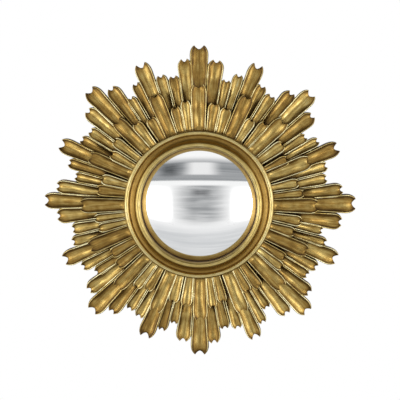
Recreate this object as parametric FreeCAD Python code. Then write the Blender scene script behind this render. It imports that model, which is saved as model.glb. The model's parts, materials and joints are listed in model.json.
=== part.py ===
"""Convex sunburst wall mirror, 440 mm across, built as it comes apart on a bench.

It is modelled lying on its back: X to the right, Y up the wall, Z out of the wall, with
the origin on the mirror's axis in the wall plane. The last step stands every piece up,
so that the front faces -Y and +Z is up. All lengths are in millimetres.
"""
import FreeCAD
import Part
import math
import os

Vector = FreeCAD.Vector

# ---- driving dimensions -----------------------------------------------------------
TIP_RADIUS = 220.0          # the long rays' tips: half of the mirror's width
DEPTH = 40.2                # wall to the crown of the glass
SIDE_GAP = 0.3              # between two rays that lie side by side
CLEAR = 0.05                # between two pieces that are pushed together

# heights above the wall
BOARD_T = 5.0               # back board, and the stand-off of the wall pads
FLANGE_T = 2.5              # thin flange that carries the lower rays
SEAT_Z = 19.0               # the lower rays' root land, on which the upper rays sit
COLLAR_Z = 26.05            # top of the collar and of the upper rays' root land

# radii of the turned pieces
HUB_BORE_R = 86.0
COLLAR_R = 96.4
FLANGE_R = 150.0
BOARD_R = 98.0              # to the corners of the eight-sided back board
SIGHT_R = 80.5              # the glass that shows inside the bezel's lip
BEZEL_R = 104.2

# the bezel's mouldings: (radius, height) of each circle's centre, and its radius
OUTER_BEAD = ((100.6, 30.9), 3.6)
COVE = ((97.0, 40.46), 9.56)
INNER_BEAD = ((84.7, 34.9), 3.9)

# glass and what presses it forward
GLASS_R = 84.5
GLASS_T = 3.0
GLASS_CURVE_R = 235.0
CUSHION_IN_R = 72.0
CUSHION_OUT_R = 84.0
CUSHION_W = 16.0
CUSHION_DROP = 1.5          # the foam's inner edge stays this far off the glass

# rays
OCTANTS = 8
RAY_ROOT_R = COLLAR_R + 0.2
RIM_W = 1.6                 # the rim left beside each flute
FLUTE_DEPTH = 3.2
LOWER_FLUTE_R = 128.0       # where the flutes start: under the upper rays
UPPER_FLUTE_R = 102.7       # and under the bezel
LOWER_TIP_Z = 12.6          # the lower rays' front at their tips
LOWER_LAND_R = 122.0        # where their root land ends and the slope starts
UPPER_TIP_Z = 30.5          # the upper rays' front at their tips
UPPER_LAND_R = 106.0        # their root land, under the bezel
SHOULDER_SHARE = 1.3        # length of a ray's rounded end, for each mm of its half width
LARGE_HALF = 10.0           # a ray wider than this at each side gets a bend in its round
BEND = (0.68, 0.37)         # where that bend is: share of the length, share of the narrowing
RUN_OUT = 0.6               # width of a flute at its end, against the tip's two points

# each kind: place in the octant, tip radius, half of its share of the circle in
# degrees, half width at the shoulder, half of the tip's two points, depth of the notch
LOWER_KINDS = {
    "long": (0.0, TIP_RADIUS, 3.05, 11.1, 5.9, 5.3),
    "broad": (22.5, 210.3, 3.25, 11.2, 6.0, 6.4),
    "first": (6.05, 202.8, 2.85, 9.6, 3.9, 4.2),
    "third": (16.75, 189.3, 2.45, 7.6, 3.5, 3.6),
    "second": (11.6, 181.0, 2.55, 7.6, 3.4, 3.2),
}
UPPER_KINDS = {
    "long": (0.0, 165.5, 5.2, 10.8, 5.9, 5.0),
    "broad": (22.5, 165.0, 5.2, 10.6, 5.7, 4.6),
    "first": (8.25, 146.0, 2.9, 6.9, 3.6, 3.0),
    "second": (14.25, 141.8, 2.9, 6.9, 3.6, 3.0),
}

# staples that hold the board: they lie across the middle of the collar's wall
STAPLES = 4
STAPLE_R = 91.2
STAPLE_W = 0.8
STAPLE_SPAN = 8.0
STAPLE_LEG = 12.0

# hanger, near the top of the hub's back
HANGER_Y = 128.0            # the ring's pivot above the mirror's axis
WIRE_R = 1.2
WIRE_SIDES = 12             # flats round the wire, which keep its mesh light
RING_W = 17.0               # the ring's bar, between its corners
RING_TIP_W = 7.0
RING_H = 14.0               # bar to tip
STRAP_T = 1.0
STRAP_W = 11.0
STRAP_L = 20.0
SCREW_R = 1.4
SCREW_HEAD_R = 3.2
SCREW_HEAD_T = 1.7
SCREW_DROP = 13.0           # the screw is this far below the ring's bar
PAD_W = 12.0
PAD_CIRCLE_R = 140.0


def turned(points):
    """A ring turned about the mirror's axis from (radius, height) points of its section."""
    corners = [Vector(r, 0, z) for r, z in points]
    section = Part.Face(Part.makePolygon(corners + corners[:1]))
    return section.revolve(Vector(), Vector(0, 0, 1), 360)


def arc(centre, radius, start, end, cuts):
    """Corners of straight cuts that follow a circle from one of its angles to another."""
    angles = [math.radians(start + (end - start) * i / cuts) for i in range(cuts + 1)]
    return [(centre[0] + radius * math.cos(a), centre[1] + radius * math.sin(a)) for a in angles]


def around(shape, angles, radius=0.0):
    """Copies of one piece, moved out by a radius and turned to each angle."""
    copies = []
    for angle in angles:
        copy = shape.copy()
        copy.translate(Vector(radius, 0, 0))
        copy.rotate(Vector(), Vector(0, 0, 1), angle)
        copies.append(copy)
    return copies


def spaced(count, first=0.0):
    return [first + 360.0 / count * i for i in range(count)]


# ---- glass and turned rings ---------------------------------------------------------
def glass_z(radius, below=0.0):
    """Height of the glass's front face, or of a face so far below it, at a radius."""
    curve = GLASS_CURVE_R - below
    return DEPTH - GLASS_CURVE_R + math.sqrt(curve * curve - radius * radius)


def mirror_glass():
    """Domed disc of even thickness, with a ground edge."""
    centre = Vector(0, 0, DEPTH - GLASS_CURVE_R)
    sideways = Vector(1, 0, 0)
    dome = Part.makeSphere(GLASS_CURVE_R, centre, sideways)
    hollow = Part.makeSphere(GLASS_CURVE_R - GLASS_T, centre, sideways)
    return Part.makeCylinder(GLASS_R, DEPTH + 1).common(dome).cut(hollow).Solids[0]


def hub_ring():
    """Carrier of the whole frame: a flange for the rays and a collar for glass and bezel."""
    seat = BOARD_T + FLANGE_T
    return turned([(HUB_BORE_R, BOARD_T), (FLANGE_R, BOARD_T), (FLANGE_R, seat),
                   (COLLAR_R, seat), (COLLAR_R, COLLAR_Z), (HUB_BORE_R, COLLAR_Z)])


def bezel():
    """Ring moulding: outer bead, cove, inner bead, and the lip that holds the glass."""
    section = [(BEZEL_R, COLLAR_Z)]
    section += arc(*OUTER_BEAD, 0, 180, 4)
    section += arc(*COVE, 270, 208.5, 2)[1:]
    section += arc(*INNER_BEAD, 14, 180, 3)[1:]
    section += [(SIGHT_R, COLLAR_Z)]
    return turned(section)


def back_board():
    """Eight-sided board that covers the hub's bore and lies flat on the wall."""
    outline = Part.makePolygon([Vector(x, y, 0) for x, y in arc((0, 0), BOARD_R, 0, 360, 8)])
    return Part.Face(outline).extrude(Vector(0, 0, BOARD_T))


def cushion_blocks():
    """Foam blocks, cut to the slope of the glass's back, that press it on the lip."""
    corner = math.hypot(CUSHION_OUT_R, CUSHION_W / 2)
    side = [(CUSHION_IN_R, BOARD_T), (CUSHION_OUT_R, BOARD_T),
            (CUSHION_OUT_R, glass_z(corner, GLASS_T) - CLEAR),
            (CUSHION_IN_R, glass_z(CUSHION_IN_R, GLASS_T) - CUSHION_DROP)]
    return around(from_side(side, CUSHION_W / 2), spaced(OCTANTS, 22.5))


# ---- rays ---------------------------------------------------------------------------
def from_front(half_outline, height):
    """A blank of an even height from one half of its outline, as (radius, half width)."""
    left = [Vector(r, half, 0) for r, half in half_outline]
    right = [Vector(r, -half, 0) for r, half in reversed(half_outline) if half > 0]
    corners = left + right
    return Part.Face(Part.makePolygon(corners + corners[:1])).extrude(Vector(0, 0, height))


def from_side(outline, half_width):
    """A blank of an even width from its outline seen from the side, as (radius, height)."""
    corners = [Vector(r, -half_width, z) for r, z in outline]
    return Part.Face(Part.makePolygon(corners + corners[:1])).extrude(Vector(0, 2 * half_width, 0))


def fishtail(root_half, tip_r, shoulder_half, lobe, notch):
    """Half of a ray from in front: straight side, round shoulder, point and notch."""
    shoulder_r = tip_r - SHOULDER_SHARE * shoulder_half
    outline = [(RAY_ROOT_R, root_half), (shoulder_r, shoulder_half)]
    if shoulder_half > LARGE_HALF:
        outline.append((shoulder_r + BEND[0] * (tip_r - shoulder_r),
                        shoulder_half - BEND[1] * (shoulder_half - lobe)))
    return outline + [(tip_r, lobe), (tip_r - notch, 0)]


def carved_ray(half_outline, side, flute_start_r, front):
    """A ray whose front is hollowed but for a rim down each side. Its flute runs out in the notch."""
    root, shoulder, *_, point, _ = half_outline
    widen = (shoulder[1] - root[1]) / (shoulder[0] - root[0])
    end_r = point[0] + 1
    flute = [(flute_start_r, root[1] + widen * (flute_start_r - root[0]) - RIM_W),
             (shoulder[0], shoulder[1] - RIM_W), (end_r, point[1] * RUN_OUT)]
    hollow = from_side([(flute_start_r, front(flute_start_r) - FLUTE_DEPTH),
                        (end_r, front(end_r) - FLUTE_DEPTH), (end_r, DEPTH),
                        (flute_start_r, DEPTH)], shoulder[1])
    blank = from_front(half_outline, DEPTH).common(from_side(side, shoulder[1] + 1))
    return blank.cut(from_front(flute, DEPTH).common(hollow)).Solids[0]


def lower_ray(tip_r, half_angle, shoulder_half, lobe, notch):
    """A ray of the back tier, seated on the flange. It slopes back to its tip."""
    seat = BOARD_T + FLANGE_T
    root_half = RAY_ROOT_R * math.tan(math.radians(half_angle)) - SIDE_GAP / 2
    fall = (SEAT_Z - LOWER_TIP_Z) / (TIP_RADIUS - LOWER_LAND_R)

    def front(radius):
        return SEAT_Z - fall * (radius - LOWER_LAND_R)

    side = [(RAY_ROOT_R, seat), (tip_r, seat), (tip_r, front(tip_r)), (LOWER_LAND_R, SEAT_Z),
            (RAY_ROOT_R, SEAT_Z)]
    outline = fishtail(root_half, tip_r, shoulder_half, lobe, notch)
    return carved_ray(outline, side, LOWER_FLUTE_R, front)


def upper_ray(tip_r, half_angle, shoulder_half, lobe, notch):
    """A ray of the front tier, which overhangs the back tier and rises to its tip."""
    root_half = RAY_ROOT_R * math.tan(math.radians(half_angle)) - SIDE_GAP / 2
    rise = (UPPER_TIP_Z - COLLAR_Z) / (tip_r - UPPER_LAND_R)

    def front(radius):
        return COLLAR_Z + rise * (radius - UPPER_LAND_R)

    side = [(RAY_ROOT_R, SEAT_Z), (tip_r, SEAT_Z), (tip_r, UPPER_TIP_Z),
            (UPPER_LAND_R, COLLAR_Z), (RAY_ROOT_R, COLLAR_Z)]
    outline = fishtail(root_half, tip_r, shoulder_half, lobe, notch)
    return carved_ray(outline, side, UPPER_FLUTE_R, front)


def mirrored_places(place):
    """The angles in every octant of a kind that stands off the octant's two main rays."""
    return [base + sign * place for base in spaced(OCTANTS) for sign in (1, -1)]


def rays(kinds, make, prefix):
    """One node for each main ray, and one for the small rays of each quarter."""
    nodes = {}
    small = []
    for kind, (place, *sizes) in kinds.items():
        ray = make(*sizes)
        if kind in ("long", "broad"):
            for number, turned_ray in enumerate(around(ray, spaced(OCTANTS, place)), 1):
                nodes[f"{prefix}_{kind}_ray_{number}"] = turned_ray
        else:
            small += [(angle % 360, ray) for angle in mirrored_places(place)]
    for quarter in range(4):
        members = [around(ray, [angle])[0] for angle, ray in small if angle // 90 == quarter]
        nodes[f"{prefix}_short_rays_{quarter + 1}"] = Part.makeCompound(members)
    return nodes


# ---- back and hanger ------------------------------------------------------------------
def staple():
    """Wire staple lying across the collar's wall: a crown at height 0 and two legs."""
    left, low = -STAPLE_W / 2, -STAPLE_SPAN / 2
    crown = Part.makeBox(STAPLE_W, STAPLE_SPAN, STAPLE_W, Vector(left, low, 0))
    legs = [Part.makeBox(STAPLE_W, STAPLE_W, STAPLE_LEG, Vector(left, y, 0))
            for y in (low, -low - STAPLE_W)]
    return crown.fuse(legs).removeSplitter()


def pan_screw(length, shank_r, head_r, head_t):
    """Flat-topped screw whose head hangs below height 0 and whose shank points up."""
    head = Part.makeCylinder(head_r, head_t, Vector(0, 0, -head_t))
    return head.fuse(Part.makeCylinder(shank_r, length)).removeSplitter()


def cut_out(shape, tools):
    for tool in tools:
        shape = shape.cut(tool)
    return shape.Solids[0]


def hanger_strap(screw_spot):
    """Steel strap whose end is curled round the ring's bar."""
    axis_z = BOARD_T - STRAP_T - WIRE_R - CLEAR
    inner = WIRE_R + CLEAR
    outer = inner + STRAP_T
    centre = Vector(-STRAP_W / 2, HANGER_Y, axis_z)
    along = Vector(1, 0, 0)
    curl = Part.makeCylinder(outer, STRAP_W, centre, along)
    curl = curl.cut(Part.makeBox(STRAP_W, outer, 2 * outer,
                                 Vector(-STRAP_W / 2, HANGER_Y - outer, axis_z - outer)))
    plate = Part.makeBox(STRAP_W, STRAP_L, STRAP_T,
                         Vector(-STRAP_W / 2, HANGER_Y - STRAP_L, BOARD_T - STRAP_T))
    tail = Part.makeBox(STRAP_W, outer, STRAP_T,
                        Vector(-STRAP_W / 2, HANGER_Y - outer, axis_z - outer))
    strap = curl.fuse([plate, tail]).cut(Part.makeCylinder(inner, STRAP_W, centre, along))
    return strap.cut(Part.makeCylinder(SCREW_R, STRAP_T, screw_spot)).removeSplitter()


def hanger_ring():
    """Tapered ring of wire, with its bar in the strap's curl."""
    axis_z = BOARD_T - STRAP_T - WIRE_R - CLEAR
    left = Vector(-RING_W / 2, HANGER_Y, axis_z)
    right = Vector(RING_W / 2, HANGER_Y, axis_z)
    tip_left = Vector(-RING_TIP_W / 2, HANGER_Y + RING_H, axis_z)
    tip_right = Vector(RING_TIP_W / 2, HANGER_Y + RING_H, axis_z)
    start = Vector(0, HANGER_Y, axis_z)
    path = Part.makePolygon([start, right, tip_right, tip_left, left, start])
    flats = arc((HANGER_Y, axis_z), WIRE_R, 0, 360, WIRE_SIDES)
    section = Part.makePolygon([Vector(0, y, z) for y, z in flats])
    shell = Part.BRepOffsetAPI.MakePipeShell(path)
    shell.setTransitionMode(1)
    shell.add(section)
    shell.build()
    shell.makeSolid()
    return shell.shape()


def build():
    staples = around(staple(), spaced(STAPLES, 45.0), STAPLE_R)
    screw_spot = Vector(0, HANGER_Y - SCREW_DROP, BOARD_T - STRAP_T)
    hanger_screw = pan_screw(STRAP_T + FLANGE_T - SIDE_GAP, SCREW_R, SCREW_HEAD_R, SCREW_HEAD_T)
    hanger_screw.translate(screw_spot)
    pad = Part.makeBox(PAD_W, PAD_W, BOARD_T, Vector(-PAD_W / 2, -PAD_W / 2, 0))
    nodes = {
        "hub_ring": cut_out(hub_ring(), staples + [hanger_screw]),
        "bezel": bezel(),
        "mirror_glass": mirror_glass(),
        "cushion_blocks": Part.makeCompound(cushion_blocks()),
        "back_board": cut_out(back_board(), staples),
        "board_staples": Part.makeCompound(staples),
        "wall_pads": Part.makeCompound(around(pad, spaced(4, 45.0), PAD_CIRCLE_R)),
        "hanger_strap": hanger_strap(screw_spot),
        "hanger_ring": hanger_ring(),
        "hanger_screw": hanger_screw,
    }
    nodes.update(rays(LOWER_KINDS, lower_ray, "lower"))
    nodes.update(rays(UPPER_KINDS, upper_ray, "upper"))
    return nodes


os.makedirs("parts", exist_ok=True)
for name, shape in build().items():
    shape.rotate(Vector(), Vector(1, 0, 0), 90)
    shape.exportStep(f"parts/{name}.step")
    print(name, shape.ShapeType, len(shape.Solids), shape.isValid(), round(shape.Volume))
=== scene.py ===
"""Convex sunburst wall mirror: the carved rays, turned bezel, domed glass and hanger round their CAD frame.

Lengths are in millimetres and angles in degrees, and turn to metres and radians where a mesh is made. Only
the studio's sizes and the settings in the panel are in metres. The mirror hangs on a wall at y = 0, faces -Y,
and its axis is the Y axis.
"""

import json
import math
from typing import NamedTuple

import bmesh
import bpy
from mathutils import Matrix, Vector

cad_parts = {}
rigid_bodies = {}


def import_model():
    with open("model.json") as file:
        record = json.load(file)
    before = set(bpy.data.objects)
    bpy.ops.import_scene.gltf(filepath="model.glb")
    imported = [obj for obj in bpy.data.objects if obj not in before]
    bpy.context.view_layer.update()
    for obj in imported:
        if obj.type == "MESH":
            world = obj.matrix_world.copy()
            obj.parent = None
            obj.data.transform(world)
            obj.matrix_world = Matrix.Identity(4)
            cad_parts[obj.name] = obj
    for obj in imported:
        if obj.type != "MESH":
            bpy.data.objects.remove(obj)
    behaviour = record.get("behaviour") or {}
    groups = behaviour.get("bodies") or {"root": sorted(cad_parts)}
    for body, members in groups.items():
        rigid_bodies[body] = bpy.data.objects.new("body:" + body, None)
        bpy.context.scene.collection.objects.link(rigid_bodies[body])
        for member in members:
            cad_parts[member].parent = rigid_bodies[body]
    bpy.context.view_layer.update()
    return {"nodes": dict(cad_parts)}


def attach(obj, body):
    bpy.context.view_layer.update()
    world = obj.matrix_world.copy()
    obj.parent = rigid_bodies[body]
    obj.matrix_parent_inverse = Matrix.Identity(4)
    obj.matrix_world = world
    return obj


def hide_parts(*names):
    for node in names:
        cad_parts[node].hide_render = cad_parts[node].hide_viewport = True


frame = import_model()
NODES = frame["nodes"]

bl_info = {
    "name": "Convex sunburst mirror",
    "version": (1, 0, 0),
    "blender": (4, 5, 0),
    "location": "View3D > Sidebar > Sunburst mirror",
    "description": "Makes the rays, bezel, glass, back and hanger of a gilt sunburst mirror",
    "category": "Add Mesh",
}

MM = 0.001

# ---- sizes that the pieces share with their CAD nodes ----
ROOT_R = 96.6               # the rays start here, under the bezel
RAY_GAP = 0.15              # half of the gap between two roots
SHOULDER_SHARE = 1.3        # length of a ray's rounded end for each mm of its half width
CROWN = 40.0                # front of the glass, off the wall
GLASS_R = 84.5
GLASS_T = 3.0
GLASS_CURVE_R = 235.0
HANGER_Y = 128.0            # the ring's bar, above the mirror's axis
RING_HEIGHT = 2.75          # and off the wall
RING_W = 17.0
RING_TIP_W = 7.0
RING_H = 14.0
WIRE_R = 1.2
WIRE_BEND = 2.6             # the wire's bends start this far from each corner
SCREW_Y = 115.0
SCREW_HEAD_R = 3.2
SCREW_HEAD_T = 1.7
SCREW_FLATNESS = 4          # how flat the top of its head is
SCREW_RIM = 0.998           # the outermost column of its mesh stands at this share of its radius
SLOT_DEPTH = 0.8
SLOT_HALF = 0.45            # half of the slot's width
SLOT_LEAN = 0.02            # how far a wall of the slot leans
STRAP_BACK = 4.0            # the strap's face, off the wall

# ---- how fine the turned pieces are cut ----
BEZEL_CUTS = 192
GLASS_CUTS = 128
GLASS_STEPS = 40            # from the middle of the glass to its edge
GRAIN_ROUND = 600.0         # length of the bezel's grain, once round
WIRE_CUTS = 6               # along each bend of the wire
SCREW_CUTS = 12             # across the screw's head
SCREW_STEPS = 6             # from its slot to its edge


class Tier(NamedTuple):
    """A tier of rays. Heights are above the wall, and radii from the mirror's axis."""
    back: float             # height of its back
    land: float             # height of the flat land at the roots
    tip: float              # height of the tips
    land_r: float           # where the land ends and the slope to the tips begins
    tip_r: float            # the longest rays' tips
    flute_r: float          # where the flutes begin
    first_rows: tuple       # rows of a ray's mesh before the even ones along its straight sides
    tip_darkening: float         # how much darker the tips are, counted as wash, where 1 is a full wash


class Kind(NamedTuple):
    """A kind of ray."""
    tip_r: float            # its tip, from the mirror's axis
    share: float            # half of its share of the circle
    half: float             # half width at the shoulder
    lobe: float             # half of the space between the tip's two points
    notch: float            # depth of the notch between them


class Place(NamedTuple):
    """Where a kind stands in an eighth of the circle, and how far its eight rays stray from there."""
    kind: str
    angle: float
    turned: tuple           # in degrees
    longer: tuple           # in mm


TIERS = {
    "lower": Tier(back=7.5, land=19.0, tip=12.6, land_r=122.0, tip_r=220.0, flute_r=128.0,
                  first_rows=(ROOT_R, 128.0, 134.0), tip_darkening=0.22),
    "upper": Tier(back=19.0, land=26.05, tip=30.5, land_r=106.0, tip_r=165.5, flute_r=101.0,
                  first_rows=(ROOT_R, 102.5, 106.0, 109.0), tip_darkening=0.12),
}
KINDS = {
    "lower": {
        "long": Kind(220.0, 3.05, 11.2, 5.9, 5.3),
        "broad": Kind(210.3, 3.25, 11.3, 6.0, 6.4),
        "first": Kind(202.8, 2.85, 9.8, 3.9, 4.2),
        "third": Kind(189.3, 2.45, 7.7, 3.5, 3.6),
        "second": Kind(181.0, 2.55, 7.7, 3.4, 3.2),
    },
    "upper": {
        "long": Kind(165.5, 5.2, 10.8, 5.9, 5.0),
        "broad": Kind(165.0, 5.2, 10.6, 5.7, 4.6),
        "first": Kind(146.0, 2.9, 6.9, 3.6, 3.0),
        "second": Kind(141.8, 2.9, 6.9, 3.6, 3.0),
    },
}
PLACES = {
    "lower": (
        Place("long", 0.0, turned=(0.1, -0.4, 0.2, -0.8, -0.7, 0.5, 0.2, -0.3),
              longer=(-0.7, -0.7, 0, 1.2, -0.8, 0.5, 0, -0.1)),
        Place("broad", 22.5, turned=(0.0, -0.3, 0.3, -0.5, 0.8, 0.6, 0.1, 0.3),
              longer=(-0.9, -0.1, 1.0, 2.2, 0.4, -0.6, 1.1, -0.4)),
        Place("first", 6.05, turned=(-0.3, -0.5, -0.1, -0.8, -0.6, 0.5, 0.1, -0.3),
              longer=(-0.6, -1.1, -0.3, 1.0, 0.1, 0.2, 1.1, 0.3)),
        Place("second", 11.6, turned=(-0.3, -0.3, 0.0, -0.3, 0.2, 0.3, 0.0, -0.3),
              longer=(1.3, 0.9, 0.8, 3.1, 3.5, 3.0, 3.6, 4.1)),
        Place("third", 16.75, turned=(0.0, 0.3, 0.0, -0.1, 0.6, 0.2, 0.3, -0.4),
              longer=(-2.7, -2.4, -2.2, -0.4, 0.3, -2.3, -0.4, 0.8)),
        Place("third", 28.25, turned=(-0.1, -0.4, -0.2, -0.3, 0.8, 0.5, -0.3, -0.5),
              longer=(-0.8, -0.9, 0.8, 3.6, 2.0, 3.0, 5.9, -1.4)),
        Place("second", 33.4, turned=(-1.0, -0.7, -0.5, -0.5, 0.9, -0.2, -0.6, -0.9),
              longer=(-4.8, -4.3, -4.2, -1.6, -1.9, -2.7, -2.0, -2.9)),
        Place("first", 38.95, turned=(-0.8, -0.7, -1.4, -0.7, -0.4, -0.7, -0.8, -1.3),
              longer=(-2.2, -1.4, 0.7, 0.6, 0.5, -0.9, 0.0, -0.8)),
    ),
    "upper": (
        Place("long", 0.0, turned=(0.0, -0.2, 0.3, -0.4, 0.8, 0.7, 0.8, 0.2),
              longer=(0.2, 0.8, 1.3, -1.7, 0.9, 0.8, -0.3, 0.5)),
        Place("broad", 22.5, turned=(-0.8, -1.2, -0.4, -1.0, -0.5, 0.1, -0.4, -0.6),
              longer=(0.5, 0.5, -0.1, 1.8, 1.2, 0.5, 0.6, 0.5)),
        Place("first", 8.25, turned=(-1.7, -1.9, -1.0, -0.7, -0.5, -0.6, -0.7, -1.0),
              longer=(0.3, 0.5, 0.0, 1.9, 2.0, 2.9, 2.1, 1.2)),
        Place("second", 14.25, turned=(-1.7, -1.2, -0.4, 0.4, -0.6, -0.2, -0.5, -0.8),
              longer=(-0.5, -2.5, -1.6, 0.0, 3.8, 1.3, 1.4, 0.8)),
        Place("second", 30.75, turned=(-2.7, -1.8, -1.0, -1.1, -0.7, -1.0, -1.4, -1.9),
              longer=(-3.2, -2.1, -3.5, -1.3, 1.1, 2.6, 0.3, -3.0)),
        Place("first", 36.75, turned=(-1.0, -0.4, 0.7, 0.3, 0.8, 0.6, -0.4, -0.9),
              longer=(-1.9, -2.9, -2.2, -1.9, -1.2, -0.1, -0.2, -1.1)),
    ),
}

# ---- the carving ----
FULLNESS = 2.6              # how late a ray's rounded end curves in
POINT_AT = 0.84             # the points of a fishtail stand at this share of its end's half width
POINT_DROP = 0.8            # outside them the end falls back by this
NOTCH_ROUND = 1.7           # how round the notch between them is
TIP_FALL = 1.5              # how far a ray's rounded end drops to its tip
BODY_ROWS = 12              # rows of a ray's mesh along its straight sides
END_ROWS = (0.2, 0.4, 0.58, 0.74, 0.88, 0.965, 1.0)  # and round its end, as shares of its length
RUN_IN = 7.0                # a flute comes to its depth over this length
FULL_HALF = 9.5             # rays with less half width than this have shallower flutes
TIP_SHALLOWER = 0.4         # share of its depth that a flute loses at the tip
SWELL_LENGTH = 34.0         # from one low spot in a flute's floor to the next
RIM_MOST = 0.5              # a rim takes at most this share of the half width
FLARE = 0.4                 # a flank's foot spreads this much past the rim

# A ray's section from its edge to its middle. The rim: share of its width from the edge, drop in mm, and how
# much of the dark wash stays there. The flute: share of its half width, share of its depth, and its wash.
# The wash here is partly painted shade: dark at the rim's outer edge, down the flank that the next ray
# shades, and at the foot of the rim's inner wall. The rim's crest, with hardly any wash, takes the rubbed
# colour and its painted highlight.
RIM_SECTION = ((0.04, 0.75, 0.80), (0.16, 0.20, 0.30), (0.44, 0.0, 0.04), (0.74, 0.16, 0.10),
               (1.00, 0.60, 0.70))
FLUTE_SECTION = ((0.86, 0.28, 0.56), (0.64, 0.60, 0.38), (0.34, 0.90, 0.34), (0.0, 1.0, 0.36))


# ---- the finishes ----
class Gilding(NamedTuple):
    """How one part's gilding differs. Wash is counted so that 1 is a full, dark wash."""
    streak: float           # how much the brush strokes add or take away
    mottle: float           # and how much the blotches do
    swell: float            # depth of the long swells that the light shows
    corner_reach: float     # how far from a corner its wash and painted shade reach
    corner_wash_and_shade: float      # how much wash and painted shade a corner holds


GILDINGS = {
    "lower": Gilding(0.13, 0.09, 6.0, 10.0, 0.55),
    "upper": Gilding(0.13, 0.08, 7.5, 5.0, 0.45),
    "bezel": Gilding(0.03, 0.04, 0.4, 2.5, 0.40),
}
STROKE = (30.0, 2.0)        # a brush stroke of the wash, along the ray and across it
SWELL = (35.0, 60.0)        # a long swell, likewise
BLOTCH = 9.0                # a blotch of leaf or wash
SPECK = 2.0                 # a speck of rubbed leaf
GROUND_RELIEF = 0.22        # how uneven the ground under the leaf is
TONE_WASH = 0.10            # how much more or less wash a whole ray can have
HAZE = 50.0                 # a softer patch of the glass


class Finish(NamedTuple):
    """A surface that varies between two colours over spots of one size."""
    name: str
    light: str
    dark: str
    spot: float             # size of a spot
    rough: float
    relief: float           # height of a spot
    metallic: float = 0.0


BACK_FINISHES = {
    # Stained wood: dark brown and dull, with broad cloudy patches.
    "hub_ring": Finish("stained_wood", "#4A3216", "#2E1D0B", 2.0, 0.55, 0.10),
    # Pressed hardboard: tan and matt, with a fibrous speckle of about 1.5 mm.
    "back_board": Finish("hardboard", "#8A6A45", "#6B4D2E", 1.5, 0.80, 0.15),
    # Open-cell foam: dark grey with cells of about 1 mm.
    "cushion_blocks": Finish("polyurethane_foam", "#4A4A4A", "#2A2A2A", 1.0, 0.95, 0.40),
    # Drawn, galvanised wire: pale, cool metal with a fine spangle.
    "board_staples": Finish("galvanised_wire", "#C4C6C8", "#A4A7AA", 1.0, 0.32, 0.03, 1.0),
    # Rolled strip, zinc plated: the same pale metal with a broader spangle.
    "hanger_strap": Finish("zinc_plated_strip", "#C9CBCC", "#A9ACAE", 2.0, 0.30, 0.03, 1.0),
    # Pressed wool felt: soft and matt, with fibres of about 0.7 mm.
    "wall_pads": Finish("wool_felt", "#8E877A", "#6C665B", 0.7, 1.0, 0.30),
}
# Wire ring and screw, zinc plated after they were bent and turned: pale and half bright.
ZINC = Finish("zinc_plated_steel", "#CFD0D0", "#B2B4B6", 2.0, 0.26, 0.02, 1.0)
CLOUD_SPOTS = 12.5          # a cloud over the surface is this many spots wide
DARK_DULLER = 0.12          # how much rougher the dark spots are than the light ones


# ---- the studio, in metres ----
class Card(NamedTuple):
    """A flat card that only the glass and the gilding see."""
    name: str
    corner: tuple
    across: tuple           # its first side, from the corner
    up: tuple               # its other side
    shade: str
    soft: tuple             # how much of it fades out at its left, right, bottom and top, as shares
    streaks: float = 0.0    # how clear its streaks are
    glow: float = 1.0       # its strength, where 1 shows its shade as it is written


CARDS = (
    # What the glass shows: a grey band over white walls, a pale window and a dark corner in it, and the dim
    # middle of the room.
    Card("grey_band", (-9, -3.0, 0.56), (18, 0, 0), (0, 0, 1.15), "#8C8F92",
         (0.3, 0.3, 0.03, 0.35), streaks=0.25),
    Card("window", (-0.85, -2.9, 0.76), (1.75, 0, 0), (0, 0, 0.6), "#F2F2F2", (0.35, 0.4, 0.12, 0.12)),
    Card("dark_corner", (-2.1, -2.85, 0.62), (1.5, 0, 0), (0, 0, 0.75), "#55585A",
         (0.5, 0.45, 0.3, 0.3), streaks=0.4),
    Card("dim_middle", (-0.64, -1.3, -0.62), (1.28, 0, 0), (0, 0, 0.82), "#9C9EA0",
         (0.42, 0.42, 0.3, 0.05), streaks=0.45),
    Card("camera_shade", (-0.24, -1.29, -0.06), (0.48, 0, 0), (0, 0, 0.20), "#77787A",
         (0.4, 0.4, 0.5, 0.3), streaks=0.5),
    Card("pale_front", (-0.6, -0.5, -0.6), (1.2, 0, 0), (0, 0, 0.42), "#D2D4D6",
         (0.2, 0.2, 0.05, 0.4), streaks=0.4),
    # Dark flags above and below shade the top and bottom of every moulding.
    Card("flag_above", (-2.2, -1.7, 1.25), (4.4, 0, 0), (0, 3.0, 0), "#5C574E", (0.15, 0.15, 0.15, 0)),
    Card("flag_below", (-1.6, -0.55, -0.62), (3.2, 0, 0), (0, 1.9, 0), "#5C574E", (0.15, 0.15, 0.12, 0)),
)
SIDE_BOX_AT = (2.1, -1.0, 0.1)            # the right one, and the left one mirrors it
SIDE_BOX_SIZE = (1.2, 1.8)
TOP_BOX_AT = (0, -0.9, 1.7)
TOP_BOX_SIZE = (1.4, 0.8)
LIT_WALL_X = 0.95                         # middle of the lit wall on either side
LIT_WALL_Y = -1.35
LIT_WALL_FOOT = -0.60
LIT_WALL_SIZE = (0.90, 0.80)
FLOOR_LEVEL = -0.7
FLOOR_HALF = 6.0                          # half of its width
FLOOR_SHOWS = (0.45, 0.75)                # the shadow on the floor fades out between these distances
STREAKS = (1.5, 12.0, 1.0)                # streaks across a card's width, and up its height
SENSOR_W = 36.0                           # in mm
VIEW_SHIFT = (0.00175, 0.00825)           # how far the view stands off the lens's middle, in picture widths
CLIP = (0.05, 50.0)                       # nearest and farthest that the camera sees


# ---- small tools ----
def linear(hex_colour):
    """An sRGB hex colour as the linear numbers that shaders take, and full cover."""
    parts = [int(hex_colour[i:i + 2], 16) / 255 for i in (1, 3, 5)]
    return (*[p / 12.92 if p <= 0.04045 else ((p + 0.055) / 1.055) ** 2.4 for p in parts], 1.0)


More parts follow.
